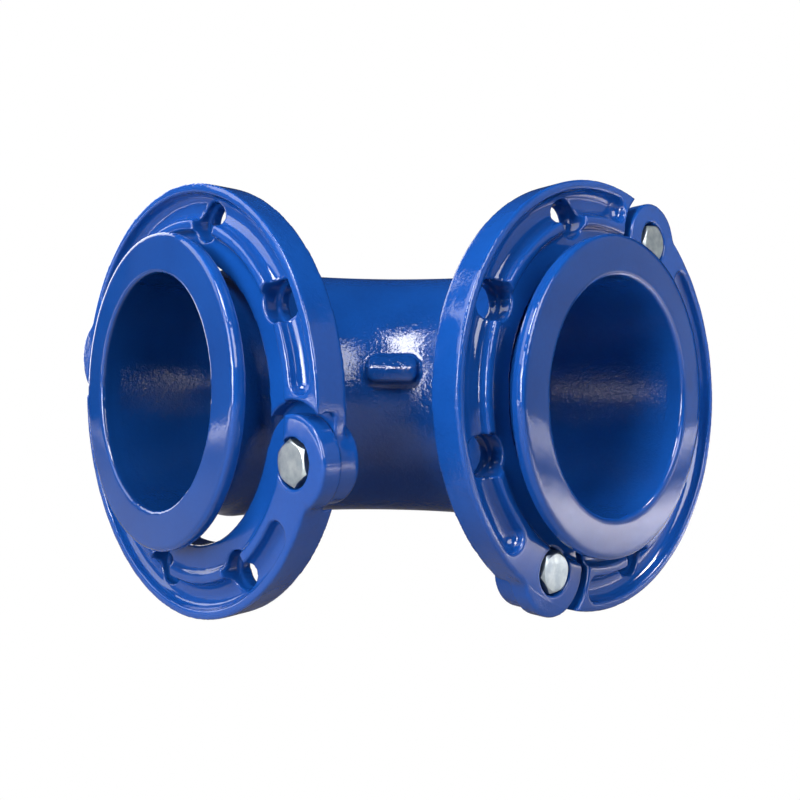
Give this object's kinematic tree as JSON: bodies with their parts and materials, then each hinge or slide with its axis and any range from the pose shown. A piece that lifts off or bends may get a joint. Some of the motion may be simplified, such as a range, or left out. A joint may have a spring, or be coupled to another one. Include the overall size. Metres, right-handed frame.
{
  "type": "flanged elbow",
  "caption": "Cast quarter bend for a pipeline, with a flat collar at each port and a loose split flange, joined by lapped ears and bolts, that turns behind each collar.",
  "frame": {"origin": "middle of port A's gasket face, on its bore axis", "axes": "port A faces -Y, port B faces +X, +Z is square to the plane of the bend; the ports' axes cross at y = 0.22 m"},
  "size_m": [0.3603, 0.3746, 0.2948],
  "materials": {
    "blue_epoxy_casting": "glossy fused epoxy coating over a cast iron skin",
    "zinc_steel": "bright zinc plating"
  },
  "bodies": {
    "elbow": {"elbow_collar_a": "blue_epoxy_casting", "elbow_neck_a": "blue_epoxy_casting", "elbow_bend_1": "blue_epoxy_casting", "elbow_bend_2": "blue_epoxy_casting", "elbow_bend_3": "blue_epoxy_casting", "elbow_bend_4": "blue_epoxy_casting", "elbow_neck_b": "blue_epoxy_casting", "elbow_collar_b": "blue_epoxy_casting", "elbow_lug": "blue_epoxy_casting"},
    "flange_a": {"flange_a_half_1": "blue_epoxy_casting", "flange_a_half_2": "blue_epoxy_casting", "joint_bolt_a_1": "zinc_steel", "joint_bolt_a_2": "zinc_steel"},
    "flange_b": {"flange_b_half_1": "blue_epoxy_casting", "flange_b_half_2": "blue_epoxy_casting", "joint_bolt_b_1": "zinc_steel", "joint_bolt_b_2": "zinc_steel"}
  },
  "joints": [
    {"name": "flange_a_turn", "type": "hinge", "parent": "elbow", "child": "flange_a", "pos_m": [0.00895, 0.017, -0.00687], "axis": [0.0419, -0.9987, -0.0279], "continuous": true},
    {"name": "flange_b_turn", "type": "hinge", "parent": "elbow", "child": "flange_b", "pos_m": [0.201, 0.23048, 0.00108], "axis": [0.9993, -0.0297, 0.0227], "continuous": true}
  ]
}
